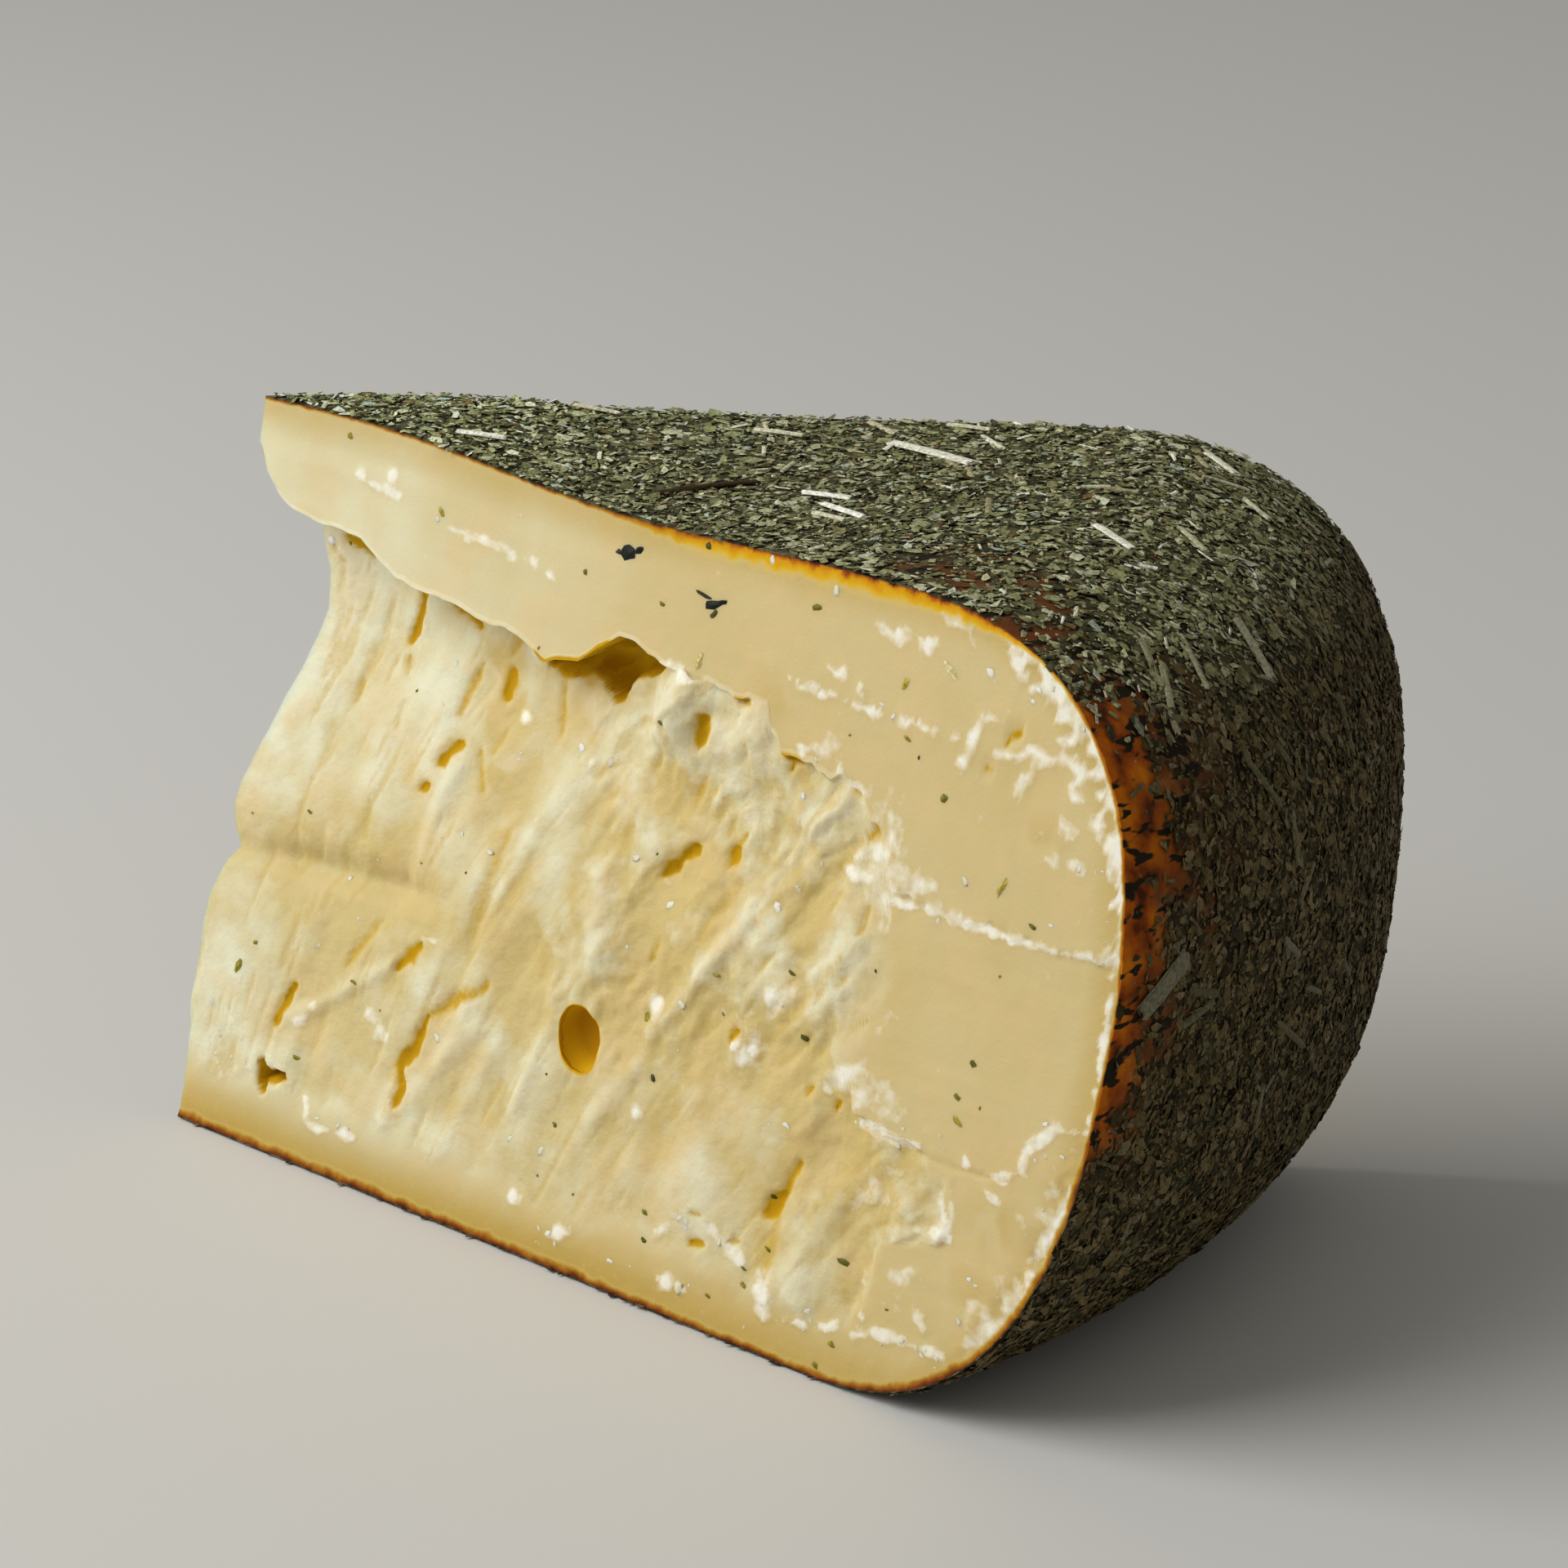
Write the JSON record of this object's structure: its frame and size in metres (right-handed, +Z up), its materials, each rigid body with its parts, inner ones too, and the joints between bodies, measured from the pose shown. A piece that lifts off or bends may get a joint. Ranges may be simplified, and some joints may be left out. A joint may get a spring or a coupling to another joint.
{
  "type": "lovage cheese wedge",
  "caption": "Wedge of semi-hard cheese standing on its base, rind coated with chopped dried herb, front cut torn to a hollow under a lip.",
  "frame": {"origin": "middle of the base, on the surface that the wedge stands on", "axes": "+Z up, +X from the thin tip to the heel of the wheel, -Y out of the torn front cut"},
  "size_m": [0.1604, 0.112, 0.0967],
  "materials": {
    "cheese_paste": "satin"
  },
  "bodies": {
    "root": {"lovage_cheese_wedge": "cheese_paste"}
  },
  "joints": []
}
